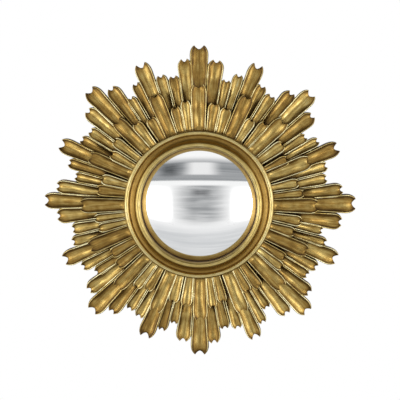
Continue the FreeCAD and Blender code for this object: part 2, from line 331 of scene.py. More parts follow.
def add(tree, kind, sockets=None, **settings):
    """A node with its settings. Each socket gets a value, or a link where another node's output is given."""
    node = tree.nodes.new(kind)
    for name, value in settings.items():
        setattr(node, name, value)
    for key, value in (sockets or {}).items():
        if isinstance(value, bpy.types.NodeSocket):
            tree.links.new(value, node.inputs[key])
        else:
            node.inputs[key].default_value = value
    return node


def new_material(name):
    """An empty material, and the tree that its nodes go in."""
    material = bpy.data.materials.new(name)
    material.use_nodes = True
    material.node_tree.nodes.clear()
    return material, material.node_tree


def finish_material(tree, surface):
    """Gives the material its surface."""
    add(tree, "ShaderNodeOutputMaterial", {"Surface": surface})


def smooth(value, start, end):
    """0 up to the start, 1 from the end on, and an easy curve between them."""
    share = min(max((value - start) / (end - start), 0.0), 1.0)
    return share * share * (3 - 2 * share)


def facing(right, up, height):
    """A point so far to the right of the mirror's axis, above it and off the wall, in mm."""
    return Vector((right, -height, up)) * MM


def per_metre(size):
    """How often a pattern of this size, in mm, repeats in a metre."""
    return 1 / (size * MM)


def shade_smooth(bm, crease):
    """Turns the faces outwards and shades them smooth, but for edges that bend by more than the crease."""
    bmesh.ops.recalc_face_normals(bm, faces=bm.faces)
    for face in bm.faces:
        face.smooth = True
    for edge in bm.edges:
        if len(edge.link_faces) == 2 and edge.calc_face_angle() > math.radians(crease):
            edge.smooth = False


def plain_mesh(name, bm, finish=None):
    """The finished mesh of what was drawn, with its material."""
    mesh = bpy.data.meshes.new(name)
    bm.to_mesh(mesh)
    bm.free()
    if finish:
        mesh.materials.append(finish)
    return mesh


def put(name, mesh, body, slot, *replaced):
    """A finished piece on its CAD body, and the CAD nodes that it stands for, which it hides. The slot is not
    used.
    """
    piece = bpy.data.objects.new(name, mesh)
    bpy.context.scene.collection.objects.link(piece)
    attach(piece, body)
    if replaced:
        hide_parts(*replaced)


def evaluated(carrier, name):
    """The plain mesh of what a carrier's modifiers make. The carrier goes."""
    graph = bpy.context.evaluated_depsgraph_get()
    grown = carrier.evaluated_get(graph)
    mesh = bpy.data.meshes.new_from_object(grown, preserve_all_data_layers=True, depsgraph=graph)
    mesh.name = name
    bpy.data.objects.remove(carrier, do_unlink=True)
    return mesh


# ---- materials ----
def gilt(part, look):
    """Gold leaf on carved wood, rubbed bright on the rims, with an umber wash left in the hollows.

    The eye gets a warm, half-matt metal: pale edges, mottled flats, and brown lines in every corner. The pale
    edges are partly painted highlight, and the brown lines partly painted shade, on the flanks between rays,
    at the feet of walls and where pieces meet or overhang.
    """
    gilding = GILDINGS[part]
    material, tree = new_material(f"antiqued_gold_leaf_{part}")
    place = add(tree, "ShaderNodeTexCoord").outputs["Object"]
    # The wash attribute holds the carving's umber wash and painted shade together: on the flanks, at rim
    # feet, at the bezel's edge and down its lip.
    hollow = add(tree, "ShaderNodeAttribute", attribute_name="wash").outputs["Fac"]
    tone = add(tree, "ShaderNodeAttribute", attribute_name="tone").outputs["Fac"]
    # The strokes and swells of each ray start from another place.
    tone_shift = add(tree, "ShaderNodeCombineXYZ", {"X": tone, "Y": tone, "Z": 0.0}).outputs[0]
    grain_at = add(tree, "ShaderNodeAttribute", attribute_name="grain").outputs["Vector"]
    grain_at = add(tree, "ShaderNodeVectorMath", {0: tone_shift, 1: grain_at}, operation="ADD").outputs[0]
    # Brush strokes of the wash lie along the ray.
    stroke_scale = (per_metre(STROKE[0]), per_metre(STROKE[1]), 1)
    stroke_at = add(tree, "ShaderNodeMapping", {"Vector": grain_at, "Scale": stroke_scale}).outputs[0]
    stroke = add(tree, "ShaderNodeTexNoise", {"Vector": stroke_at, "Scale": 1.0, "Detail": 2.0}).outputs[0]
    # Leaf and wash lie in blotches, with specks of rubbed leaf.
    wide, fine = per_metre(BLOTCH), per_metre(SPECK)
    blotch = add(tree, "ShaderNodeTexNoise", {"Vector": place, "Scale": wide, "Detail": 4.0}).outputs[0]
    speck = add(tree, "ShaderNodeTexNoise", {"Vector": place, "Scale": fine, "Detail": 2.0}).outputs[0]
    # Corners darken by how closely other surfaces surround them: partly wash that settles in a piece's own
    # corners, partly painted shade where pieces meet and overhang, under the bezel and the front rays' tips.
    reach = gilding.corner_reach * MM
    corner = add(tree, "ShaderNodeAmbientOcclusion", {"Distance": reach}, samples=6).outputs["AO"]
    corner = add(tree, "ShaderNodeMapRange", {"Value": corner, "From Min": 0.15, "From Max": 0.8,
                                              "To Min": gilding.corner_wash_and_shade, "To Max": 0.0},
                 interpolation_type="SMOOTHSTEP").outputs[0]
    held = add(tree, "ShaderNodeMath", {0: hollow, 1: corner}, operation="ADD").outputs[0]
    for pattern, most in ((blotch, gilding.mottle), (stroke, gilding.streak)):
        more = add(tree, "ShaderNodeMapRange", {"Value": pattern, "From Min": 0.3, "From Max": 0.7,
                                                "To Min": -most, "To Max": most}).outputs[0]
        held = add(tree, "ShaderNodeMath", {0: held, 1: more}, operation="ADD").outputs[0]
    held = add(tree, "ShaderNodeMath", {0: tone, 1: TONE_WASH, 2: held}, operation="MULTIPLY_ADD").outputs[0]
    # More wash is browner, rougher and, where it is thick, hides the metal. The ramp's ends also carry
    # painted light:
    # the rubbed colour is partly the painted highlight on the rims, and the wash and umber are partly the
    # painted shade in corners.
    ramp = add(tree, "ShaderNodeValToRGB", {"Fac": held})
    fill_ramp(ramp.color_ramp, ((0.0, look.rubbed_leaf_and_highlight), (0.18, look.leaf_light), (0.44, look.leaf_deep),
                                (0.74, look.wash), (1.0, look.umber_and_shade)))
    bare = add(tree, "ShaderNodeMapRange", {"Value": held, "From Min": 0.5, "From Max": 1.0,
                                            "To Min": 1.0, "To Max": 0.3}).outputs[0]
    rough = add(tree, "ShaderNodeMapRange", {"Value": held, "From Min": 0.0, "From Max": 0.9,
                                             "To Min": 0.27, "To Max": 0.44}).outputs[0]
    # Long swells that only the light shows, on top of those in the mesh, and uneven ground under the leaf.
    swell_scale = (per_metre(SWELL[0]), per_metre(SWELL[1]), 1)
    swell_at = add(tree, "ShaderNodeMapping", {"Vector": grain_at, "Scale": swell_scale}).outputs[0]
    swell = add(tree, "ShaderNodeTexNoise", {"Vector": swell_at, "Scale": 1.0, "Detail": 0.0}).outputs["Fac"]
    waved = add(tree, "ShaderNodeBump", {"Strength": 1.0, "Distance": gilding.swell * MM, "Height": swell})
    relief = add(tree, "ShaderNodeMix", {"Factor": 0.35, "A": blotch, "B": speck}).outputs["Result"]
    bump = add(tree, "ShaderNodeBump", {"Strength": 0.55, "Distance": GROUND_RELIEF * MM, "Height": relief,
                                        "Normal": waved.outputs["Normal"]}).outputs["Normal"]
    shader = add(tree, "ShaderNodeBsdfPrincipled",
                 {"Base Color": ramp.outputs["Color"], "Metallic": bare, "Roughness": rough,
                  "Specular IOR Level": 0.2, "Normal": bump, "Coat Weight": 0.15, "Coat Roughness": 0.3,
                  "Coat Normal": bump})
    finish_material(tree, shader.outputs["BSDF"])
    return material


def fill_ramp(ramp, stops):
    """Puts colour stops on a ramp that has two to begin with."""
    while len(ramp.elements) < len(stops):
        ramp.elements.new(1.0)
    for element, (position, colour) in zip(ramp.elements, stops):
        element.position = position
        element.color = (*colour[:3], 1.0)


def silvered_glass():
    """Silvered float glass, slumped to a dome: a clean mirror, a little softer in broad patches."""
    material, tree = new_material("silvered_convex_glass")
    place = add(tree, "ShaderNodeTexCoord").outputs["Object"]
    wide = per_metre(HAZE)
    haze = add(tree, "ShaderNodeTexNoise", {"Vector": place, "Scale": wide, "Detail": 3.0}).outputs["Fac"]
    rough = add(tree, "ShaderNodeMapRange", {"Value": haze, "To Min": 0.035, "To Max": 0.055}).outputs[0]
    tint = add(tree, "ShaderNodeMix", {"Factor": haze, "A": linear("#FAFAFA"), "B": linear("#F2F3F3")},
               data_type="RGBA").outputs["Result"]
    shader = add(tree, "ShaderNodeBsdfPrincipled", {"Base Color": tint, "Metallic": 1.0, "Roughness": rough})
    finish_material(tree, shader.outputs["BSDF"])
    return material


def speckled(finish):
    """A matt or metal surface, speckled and lightly clouded, as its row says."""
    material, tree = new_material(finish.name)
    place = add(tree, "ShaderNodeTexCoord").outputs["Object"]
    wide, fine = per_metre(finish.spot * CLOUD_SPOTS), per_metre(finish.spot)
    spots = add(tree, "ShaderNodeTexNoise", {"Vector": place, "Scale": fine, "Detail": 5.0}).outputs[0]
    clouds = add(tree, "ShaderNodeTexNoise", {"Vector": place, "Scale": wide, "Detail": 2.0}).outputs[0]
    mixed = add(tree, "ShaderNodeMix", {"Factor": 0.5, "A": spots, "B": clouds}).outputs["Result"]
    share = add(tree, "ShaderNodeMapRange", {"Value": mixed, "From Min": 0.35, "From Max": 0.65}).outputs[0]
    tint = add(tree, "ShaderNodeMix", {"Factor": share, "A": linear(finish.light), "B": linear(finish.dark)},
               data_type="RGBA").outputs["Result"]
    dull = min(finish.rough + DARK_DULLER, 1.0)
    rough = add(tree, "ShaderNodeMapRange", {"Value": share, "To Min": finish.rough, "To Max": dull})
    bump = add(tree, "ShaderNodeBump", {"Strength": 0.5, "Distance": finish.relief * MM, "Height": spots})
    shader = add(tree, "ShaderNodeBsdfPrincipled",
                 {"Base Color": tint, "Metallic": finish.metallic, "Roughness": rough.outputs[0],
                  "Normal": bump.outputs["Normal"]})
    finish_material(tree, shader.outputs["BSDF"])
    return material


# ---- rays ----
def front_of(tier, radius):
    """Height of a tier's front face: its flat land, and then an even slope to its tips."""
    share = (radius - tier.land_r) / (tier.tip_r - tier.land_r)
    return tier.land + (tier.tip - tier.land) * max(share, 0.0)


def flute_depth(half, before_tip, sizes):
    """Depth of a flute in mm. Narrow rays are carved shallower, and the floor swells along the ray."""
    swell = sizes.swell / MM * math.sin(2 * math.pi * before_tip / SWELL_LENGTH)
    return (sizes.flute_depth / MM + swell) * min(half / FULL_HALF, 1.0)


def ray_stations(tier, kind, sizes):
    """Rows along a ray: radius, half width, front height, flute depth, share of the notch and how much darker
    it is.
    """
    root_half = ROOT_R * math.tan(math.radians(kind.share)) - RAY_GAP
    tip_half = kind.lobe / POINT_AT
    length = SHOULDER_SHARE * kind.half
    shoulder_r = kind.tip_r - length
    even_from = tier.first_rows[-1]
    radii = list(tier.first_rows)
    radii += [even_from + (shoulder_r - even_from) * (i + 1) / BODY_ROWS for i in range(BODY_ROWS)]
    rows = []
    for radius in radii:
        half = root_half + (kind.half - root_half) * (radius - ROOT_R) / (shoulder_r - ROOT_R)
        depth = flute_depth(half, radius - kind.tip_r, sizes)
        depth *= smooth(radius, tier.flute_r, tier.flute_r + RUN_IN)
        rows.append((radius, half, front_of(tier, radius), depth, 0.0, 0.0))
    for q in END_ROWS:
        radius = shoulder_r + length * q
        half = kind.half - (kind.half - tip_half) * q ** FULLNESS
        depth = flute_depth(kind.half, length * (q - 1), sizes) * (1 - TIP_SHALLOWER * q * q)
        rows.append((radius, half, front_of(tier, radius) - TIP_FALL * q ** 3, depth, q * q,
                     tier.tip_darkening * q * q))
    return rows


def half_section(half, height, back, depth, rim):
    """A ray's section from its foot to its middle: how far across, how high, and how much wash and painted
    shade.
    """
    rim = min(rim, half * RIM_MOST)
    lip = RIM_SECTION[-1][1]
    floor = max(depth - lip, 0.0)
    points = [(half + FLARE, back, 1.0)]
    for inset, drop, wash in RIM_SECTION:
        points.append((half - inset * rim, height - drop, wash))
    for part, drop, wash in FLUTE_SECTION:
        points.append(((half - rim) * part, height - lip - drop * floor, wash))
    return points


def fishtail(across, half, notch, notched):
    """How far a ray's row is cut back at this place across it, for the notch and the two points."""
    edge = min(abs(across) / half, 1.0)
    cut = notch * notched * (1 - (min(edge, POINT_AT) / POINT_AT) ** NOTCH_ROUND)
    return cut + POINT_DROP * notched * max(edge - POINT_AT, 0) / (1 - POINT_AT)


def close_ray(bm, grid, back, wash_and_shade_layer):
    """Adds the end walls and the flat back to a ray's front. Gives the corners of the back."""
    # The end walls drop from the first and last rows to the back, which is one flat face round the notch.
    feet = []
    for row in (grid[0], grid[-1]):
        foot = [bm.verts.new((v.co.x, -back * MM, v.co.z)) for v in row[1:-1]]
        for vert in foot:
            vert[wash_and_shade_layer] = 1.0
        foot = [row[0], *foot, row[-1]]
        bm.faces.new((row[0], row[1], foot[1]))
        bm.faces.new((row[-1], row[-2], foot[-2]))
        for k in range(1, len(row) - 2):
            bm.faces.new((row[k], row[k + 1], foot[k + 1], foot[k]))
        feet.append(foot)
    turn_in = len(grid) - len(END_ROWS)
    for low, high in zip(grid[1:turn_in], grid[2:turn_in + 1]):
        bm.faces.new((low[-1], low[0], high[0], high[-1]))
    bm.faces.new(feet[0] + [grid[1][-1], grid[1][0]])
    end = [row[0] for row in grid[turn_in:-1]] + feet[1] + [row[-1] for row in grid[-2:turn_in - 1:-1]]
    bm.faces.new(end)
    return {row[0] for row in grid} | {row[-1] for row in grid} | set(feet[0]) | set(feet[1])


def ray_mesh(tier, kind, sizes):
    """One carved ray, pointing to +X: rims, hollowed front, fishtail tip, sides and back."""
    bm = bmesh.new()
    wash_and_shade_layer = bm.verts.layers.float.new("wash")
    grain_layer = bm.loops.layers.uv.new("grain")
    grid = []
    for radius, half, height, depth, notched, dark in ray_stations(tier, kind, sizes):
        points = half_section(half, height, tier.back, depth, sizes.rim_width / MM)
        row = []
        for sign, side in ((1, points), (-1, points[-2::-1])):
            for across, level, wash in side:
                cut = fishtail(across, half, kind.notch, notched)
                vert = bm.verts.new(facing(radius - cut, sign * across, level))
                vert[wash_and_shade_layer] = wash + dark
                row.append(vert)
        grid.append(row)
    for low, high in zip(grid, grid[1:]):
        for k in range(len(low) - 1):
            bm.faces.new((low[k], low[k + 1], high[k + 1], high[k]))
    foot = close_ray(bm, grid, tier.back, wash_and_shade_layer)
    bm.normal_update()
    bmesh.ops.recalc_face_normals(bm, faces=bm.faces)
    for face in bm.faces:
        face.smooth = True
        for loop in face.loops:
            x, _, z = loop.vert.co
            loop[grain_layer].uv = (x, z)
    for edge in bm.edges:
        if edge.verts[0] in foot and edge.verts[1] in foot:
            edge.smooth = False
    return plain_mesh("ray", bm)


def rays_tree():
    """Stands a carved ray at each point of the carrier, turned, stretched and widened as the point says."""
    tree = bpy.data.node_groups.new("Rays round the axis", "GeometryNodeTree")
    face = tree.interface
    face.new_socket("Geometry", in_out="INPUT", socket_type="NodeSocketGeometry")
    face.new_socket("Rays", in_out="INPUT", socket_type="NodeSocketCollection")
    face.new_socket("Finish", in_out="INPUT", socket_type="NodeSocketMaterial")
    roll = face.new_socket("Roll", in_out="INPUT", socket_type="NodeSocketFloat")
    roll.subtype = "ANGLE"
    seed = face.new_socket("Seed", in_out="INPUT", socket_type="NodeSocketInt")
    seed.default_value = 7
    face.new_socket("Geometry", in_out="OUTPUT", socket_type="NodeSocketGeometry")
    given = add(tree, "NodeGroupInput").outputs

    def of_point(name, data_type):
        """What the carrier's point says."""
        named = add(tree, "GeometryNodeInputNamedAttribute", {"Name": name}, data_type=data_type)
        return named.outputs["Attribute"]

    def drawn(least, most):
        """A number drawn for each ray."""
        draw = add(tree, "FunctionNodeRandomValue", {"Min": least, "Max": most, "Seed": given["Seed"]},
                   data_type="FLOAT")
        return next(socket for socket in draw.outputs if socket.enabled)

    back_roll = add(tree, "ShaderNodeMath", {0: given["Roll"], 1: -1.0}, operation="MULTIPLY").outputs[0]
    rolled_by = drawn(back_roll, given["Roll"])
    turned_by = of_point("turn", "FLOAT")
    back_turn = add(tree, "ShaderNodeMath", {0: turned_by, 1: -1.0}, operation="MULTIPLY").outputs[0]
    angles = add(tree, "ShaderNodeCombineXYZ", {"X": rolled_by, "Y": back_turn}).outputs[0]
    rotation = add(tree, "FunctionNodeEulerToRotation", {0: angles}).outputs[0]
    scale = add(tree, "ShaderNodeCombineXYZ", {"X": of_point("reach", "FLOAT"), "Y": 1.0,
                                               "Z": of_point("spread", "FLOAT")}).outputs[0]
    kinds = add(tree, "GeometryNodeCollectionInfo", {"Collection": given["Rays"], "Separate Children": True,
                                                     "Reset Children": True}).outputs[0]
    stood = add(tree, "GeometryNodeInstanceOnPoints",
                {"Points": given["Geometry"], "Instance": kinds, "Pick Instance": True,
                 "Instance Index": of_point("kind", "INT"), "Rotation": rotation, "Scale": scale}).outputs[0]
    toned = add(tree, "GeometryNodeStoreNamedAttribute",
                {"Geometry": stood, "Name": "tone", "Value": drawn(-1.0, 1.0)},
                data_type="FLOAT", domain="INSTANCE").outputs[0]
    real = add(tree, "GeometryNodeRealizeInstances", {"Geometry": toned}).outputs[0]
    done = add(tree, "GeometryNodeSetMaterial", {"Geometry": real, "Material": given["Finish"]}).outputs[0]
    add(tree, "NodeGroupOutput", {"Geometry": done})
    return tree


def points_of(name, places):
    """A carrier with a point for each ray, which holds its angle, stretch, kind and width."""
    mesh = bpy.data.meshes.new(name)
    mesh.from_pydata([(0, 0, 0)] * len(places), [], [])
    columns = (("turn", "FLOAT"), ("reach", "FLOAT"), ("kind", "INT"), ("spread", "FLOAT"))
    for column, (key, data_type) in enumerate(columns):
        values = mesh.attributes.new(key, data_type, "POINT").data
        for value, place in zip(values, places):
            value.value = place[column]
    carrier = bpy.data.objects.new(name, mesh)
    bpy.context.scene.collection.objects.link(carrier)
    return carrier


def grow(carrier, tree, inputs):
    """Adds the tree to the carrier, with its inputs set by their sockets' identifiers."""
    modifier = carrier.modifiers.new("Grown", "NODES")
    modifier.node_group = tree
    for item in tree.interface.items_tree:
        if item.item_type == "SOCKET" and item.in_out == "INPUT" and item.name in inputs:
            modifier[item.identifier] = inputs[item.name]


def side_by_side(stands, shares):
    """The rays in order round the circle, each as wide as the room between its neighbours lets it be.

    The wider of its two sides counts for more, so that a ray closes most of a gap beside it.
    """
    stands = sorted(stands)
    placed = []
    for i, (turn, reach, kind) in enumerate(stands):
        rooms = []
        for other_turn, _, other_kind in (stands[i - 1], stands[(i + 1) % len(stands)]):
            gap = abs(turn - other_turn)
            gap = math.degrees(min(gap, 2 * math.pi - gap))
            rooms.append(gap / (shares[kind] + shares[other_kind]))
        placed.append((turn, reach, kind, (sum(rooms) / 2 + max(rooms)) / 2))
    return placed


def tier_of_rays(tier, finish, sizes):
    """All the rays of one tier, as one plain mesh."""
    kinds = KINDS[tier]
    names = list(kinds)
    store = bpy.data.collections.new(f"{tier}_kinds")
    bpy.context.scene.collection.children.link(store)
    for i, name in enumerate(names):
        mesh = ray_mesh(TIERS[tier], kinds[name], sizes)
        store.objects.link(bpy.data.objects.new(f"{i}_{name}", mesh))
    stands = []
    for place in PLACES[tier]:
        for octant in range(8):
            turn = math.radians(45 * octant + place.angle + place.turned[octant])
            reach = 1 + place.longer[octant] / kinds[place.kind].tip_r
            stands.append((turn, reach, names.index(place.kind)))
    carrier = points_of(f"{tier}_points", side_by_side(stands, [kind.share for kind in kinds.values()]))
    grow(carrier, rays_tree(), {"Rays": store, "Finish": finish, "Roll": sizes.roll, "Seed": sizes.seed})
    mesh = evaluated(carrier, f"{tier}_rays")
    for part in list(store.objects):
        bpy.data.objects.remove(part, do_unlink=True)
    bpy.data.collections.remove(store)
    replaced = [node for node in NODES if node.startswith(f"{tier}_")]
    put(f"{tier}_rays", mesh, "frame", f"gilt_{tier}", *replaced)


# ---- turned pieces ----
def arc(centre, radius, start, end, cuts):
    """Points along an arc, from one angle to the other."""
    angles = [math.radians(start + (end - start) * i / cuts) for i in range(cuts + 1)]
    return [(centre[0] + radius * math.cos(a), centre[1] + radius * math.sin(a)) for a in angles]


def turned(bm, section, cuts):
    """The rings that a section of (radius, height) points makes as it turns about the mirror's axis."""
    rings = []
    for i in range(cuts):
        turn = Matrix.Rotation(-2 * math.pi * i / cuts, 3, "Y")
        rings.append([bm.verts.new(turn @ facing(radius, 0, height)) for radius, height in section])
    return rings


def lathe(name, section, washes_and_shades, finish):
    """A closed ring turned about the mirror's axis, with the wash and painted shade that each point of its
    section holds.
    """
    bm = bmesh.new()
    wash_and_shade_layer = bm.verts.layers.float.new("wash")
    grain_layer = bm.loops.layers.uv.new("grain")
    rings = turned(bm, section, BEZEL_CUTS)
    for ring in rings:
        for vert, wash in zip(ring, washes_and_shades):
            vert[wash_and_shade_layer] = wash
    run = [0.0]
    for (r0, z0), (r1, z1) in zip(section, section[1:] + section[:1]):
        run.append(run[-1] + math.hypot(r1 - r0, z1 - z0) * MM)
    step = GRAIN_ROUND * MM / BEZEL_CUTS
    for i, ring in enumerate(rings):
        after = rings[(i + 1) % BEZEL_CUTS]
        for k in range(len(section)):
            nxt = (k + 1) % len(section)
            face = bm.faces.new((ring[k], ring[nxt], after[nxt], after[k]))
            spots = ((i, k), (i, k + 1), (i + 1, k + 1), (i + 1, k))
            for loop, (around, down) in zip(face.loops, spots):
                loop[grain_layer].uv = (around * step, run[down])
    shade_smooth(bm, crease=50)
    return plain_mesh(name, bm, finish)


def bezel_section():
    """The moulding's section from its outer edge in to the glass, and the wash and painted shade that each
    part holds.
    """
    edge = [(104.15, 26.1), (104.2, 28.4)]
    outer_bead = arc((100.6, 30.9), 3.6, -14, 174, 14)
    quirk = [(96.7, 30.75)]
    cove = arc((97.0, 40.46), 9.6, 263, 211, 9)
    inner_bead = arc((84.7, 34.9), 3.9, 8, 180, 15)
    lip = [(80.75, 33.0), (80.7, 30.0), (80.6, 27.6), (80.55, 26.2)]
    # Each part's wash runs from its first point to its last. The dark at the foot of the outer edge and down
    # the lip to the glass is painted shade; in the quirk and the cove's outer side it is partly wash, partly
    # painted shade.
    parts = ((edge, (1.0, 0.8)), (outer_bead, (0.40, 0.14, 0.14, 0.35)), (quirk, (0.6, 0.6)),
             (cove, (0.5, 0.42, 0.38, 0.45)), (inner_bead, (0.4, 0.20, 0.16, 0.30)),
             (lip, (0.35, 0.4, 0.6, 1.0)))
    section, washes_and_shades = [], []
    for points, scale in parts:
        for i, point in enumerate(points):
            spot = i / max(len(points) - 1, 1) * (len(scale) - 1)
            low = min(int(spot), len(scale) - 2)
            section.append(point)
            washes_and_shades.append(scale[low] + (scale[low + 1] - scale[low]) * (spot - low))
    return section, washes_and_shades


def glass_section():
    """Half section of the dome: its front from the middle out, and its back from the edge in."""
    def sag(radius, curve):
        return CROWN - GLASS_CURVE_R + math.sqrt(curve * curve - radius * radius)
    steps = [GLASS_R * (1 - i / GLASS_STEPS) for i in range(GLASS_STEPS)]
    front = [(r, sag(r, GLASS_CURVE_R)) for r in reversed(steps)]
    back = [(r, sag(r, GLASS_CURVE_R - GLASS_T)) for r in steps]
    return front + back


def glass_mesh(finish):
    """Domed disc with closed poles."""
    section = glass_section()
    bm = bmesh.new()
    crown = bm.verts.new(facing(0, 0, CROWN))
    hollow = bm.verts.new(facing(0, 0, CROWN - GLASS_T))
    rings = turned(bm, section, GLASS_CUTS)
    for i, ring in enumerate(rings):
        after = rings[(i + 1) % GLASS_CUTS]
        bm.faces.new((crown, ring[0], after[0]))
        bm.faces.new((hollow, after[-1], ring[-1]))
        for k in range(len(section) - 1):
            bm.faces.new((ring[k], ring[k + 1], after[k + 1], after[k]))
    shade_smooth(bm, crease=40)
    return plain_mesh("mirror_glass", bm, finish)


# ---- fixings at the back ----
def bent_wire(name, corners, finish):
    """A closed loop of wire through the corners, bent round each of them and not folded."""
    path = []
    for before, corner, after in zip(corners[-1:] + corners, corners, corners[1:] + corners[:1]):
        start = corner + (before - corner).normalized() * WIRE_BEND * MM
        end = corner + (after - corner).normalized() * WIRE_BEND * MM
        for i in range(WIRE_CUTS + 1):
            t = i / WIRE_CUTS
            path.append(start * (1 - t) ** 2 + corner * 2 * t * (1 - t) + end * t * t)
    curve = bpy.data.curves.new(name, "CURVE")
    curve.dimensions = "3D"
    curve.bevel_depth = WIRE_R * MM
    curve.bevel_resolution = 4
    spline = curve.splines.new("POLY")
    spline.points.add(len(path) - 1)
    for point, place in zip(spline.points, path):
        point.co = (*place, 1.0)
    spline.use_cyclic_u = True
    carrier = bpy.data.objects.new(name, curve)
    bpy.context.scene.collection.objects.link(carrier)
    mesh = evaluated(carrier, name)
    for face in mesh.polygons:
        face.use_smooth = True
    mesh.materials.clear()
    mesh.materials.append(finish)
    return mesh


def screw_columns():
    """Where the columns of the screw head's mesh stand, closer together at the walls of its slot."""
    steps = [SLOT_HALF + (SCREW_HEAD_R - SLOT_HALF) * i / SCREW_STEPS for i in range(1, SCREW_STEPS)]
    right = [SLOT_HALF, SLOT_HALF + SLOT_LEAN, *steps, SCREW_HEAD_R * SCREW_RIM]
    return [-x for x in reversed(right)] + right


def screw_head(finish):
    """Slotted pan head, domed towards the wall."""
    bm = bmesh.new()
    grid = []
    for x in screw_columns():
        reach = math.sqrt(SCREW_HEAD_R ** 2 - x * x)
        column = []
        for j in range(SCREW_CUTS + 1):
            y = -math.cos(math.pi * j / SCREW_CUTS) * reach
            dome = max(1 - (math.hypot(x, y) / SCREW_HEAD_R) ** SCREW_FLATNESS, 0.0)
            height = SCREW_HEAD_T * math.sqrt(dome)
            if abs(x) <= SLOT_HALF:
                height = min(height, SCREW_HEAD_T - SLOT_DEPTH)
            column.append(bm.verts.new(facing(x, SCREW_Y + y, STRAP_BACK - height)))
        grid.append(column)
    for low, high in zip(grid, grid[1:]):
        for j in range(SCREW_CUTS):
            bm.faces.new((low[j], low[j + 1], high[j + 1], high[j]))
    flat = [c[0] for c in grid] + grid[-1][1:] + [c[-1] for c in grid[-2::-1]] + grid[0][-2:0:-1]
    bm.faces.new(flat)
    shade_smooth(bm, crease=35)
    return plain_mesh("screw_head", bm, finish)


# ---- stage ----
def softbox(name, location, size, power):
    """A soft lamp that points at the mirror."""
    light = bpy.data.lights.new(name, "AREA")
    light.shape = "RECTANGLE"
    light.size, light.size_y = size
    light.energy = power
    lamp = bpy.data.objects.new(name, light)
    lamp.location = location
    lamp.rotation_euler = (-Vector(location)).to_track_quat("-Z", "Y").to_euler()
    bpy.context.scene.collection.objects.link(lamp)


def seen_white(tree):
    """1 for what the camera, a reflection or clear glass sees, and 0 for what only lights the object."""
    path = add(tree, "ShaderNodeLightPath").outputs
    seen = path["Is Camera Ray"]
    for ray in ("Is Glossy Ray", "Is Transmission Ray"):
        seen = add(tree, "ShaderNodeMath", {0: seen, 1: path[ray]}, operation="MAXIMUM").outputs[0]
    return seen


def white_surround(level):
    """White all round, which lights the object only at the level given."""
    world = bpy.data.worlds.new("white surround")
    world.use_nodes = True
    tree = world.node_tree
    tree.nodes.clear()
    seen = seen_white(tree)
    strength = add(tree, "ShaderNodeMix", {"Factor": seen, "A": level, "B": 1.0}).outputs["Result"]
    sky = add(tree, "ShaderNodeBackground", {"Color": (1, 1, 1, 1), "Strength": strength})
    add(tree, "ShaderNodeOutputWorld", {"Surface": sky.outputs[0]})
    bpy.context.scene.world = world


def pale_floor():
    """A painted studio floor, white to the camera but for part of the shadow on it."""
    material, tree = new_material("painted_studio_floor")
    place = add(tree, "ShaderNodeTexCoord").outputs["Object"]
    cloud = add(tree, "ShaderNodeTexNoise", {"Vector": place, "Scale": 3.0, "Detail": 2.0}).outputs["Fac"]
    tint = add(tree, "ShaderNodeMix", {"Factor": cloud, "A": linear("#EEEEEC"), "B": linear("#E8E8E6")},
               data_type="RGBA").outputs["Result"]
    lit = add(tree, "ShaderNodeBsdfDiffuse", {"Color": tint}).outputs[0]
    white = add(tree, "ShaderNodeEmission", {"Color": (1, 1, 1, 1), "Strength": 1.0}).outputs[0]
    # Near the mirror a sixth of the lit floor, and so of the shadow, shows through the white.
    near, far = FLOOR_SHOWS
    away = add(tree, "ShaderNodeVectorMath", {0: place}, operation="LENGTH").outputs["Value"]
    cover = add(tree, "ShaderNodeMapRange", {"Value": away, "From Min": near, "From Max": far,
                                             "To Min": 0.84, "To Max": 1.0},
                interpolation_type="SMOOTHSTEP").outputs[0]
    share = add(tree, "ShaderNodeMath", {0: seen_white(tree), 1: cover}, operation="MULTIPLY").outputs[0]
    finish_material(tree, add(tree, "ShaderNodeMixShader", {0: share, 1: lit, 2: white}).outputs[0])
    bm = bmesh.new()
    level = Matrix.Translation((0, 0, FLOOR_LEVEL))
    bmesh.ops.create_grid(bm, x_segments=1, y_segments=1, size=FLOOR_HALF, matrix=level)
    floor = bpy.data.objects.new("floor", plain_mesh("floor", bm, material))
    bpy.context.scene.collection.objects.link(floor)


def card_paper(card):
    """Paper that glows with the card's shade, streaked, and fades out towards the card's edges."""
    material, tree = new_material(f"{card.name}_paper")
    place = add(tree, "ShaderNodeUVMap", uv_map="card").outputs[0]
    spot = add(tree, "ShaderNodeSeparateXYZ", {0: place}).outputs
    left, right, bottom, top = card.soft
    cover = 1.0
    sides = (("X", 0.0, left), ("X", 1.0, 1.0 - right), ("Y", 0.0, bottom), ("Y", 1.0, 1.0 - top))
    for axis, start, end in sides:
        if start == end:
            continue
        fade = add(tree, "ShaderNodeMapRange", {"Value": spot[axis], "From Min": start, "From Max": end},
                   interpolation_type="SMOOTHSTEP").outputs[0]
        cover = add(tree, "ShaderNodeMath", {0: cover, 1: fade}, operation="MULTIPLY").outputs[0]
    # The streaks lie across the card, as of shelves and tables in a room.
    streak_at = add(tree, "ShaderNodeMapping", {"Vector": place, "Scale": STREAKS}).outputs[0]
    streak = add(tree, "ShaderNodeTexNoise", {"Vector": streak_at, "Scale": 1.0, "Detail": 3.0}).outputs[0]
    streak = add(tree, "ShaderNodeMapRange", {"Value": streak, "From Min": 0.35, "From Max": 0.6,
                                              "To Min": 1.0 - card.streaks, "To Max": 1.0}).outputs[0]
    cover = add(tree, "ShaderNodeMath", {0: cover, 1: streak}, operation="MULTIPLY").outputs[0]
    paper = add(tree, "ShaderNodeEmission", {"Color": linear(card.shade), "Strength": card.glow}).outputs[0]
    clear = add(tree, "ShaderNodeBsdfTransparent").outputs[0]
    finish_material(tree, add(tree, "ShaderNodeMixShader", {0: cover, 1: clear, 2: paper}).outputs[0])
    return material


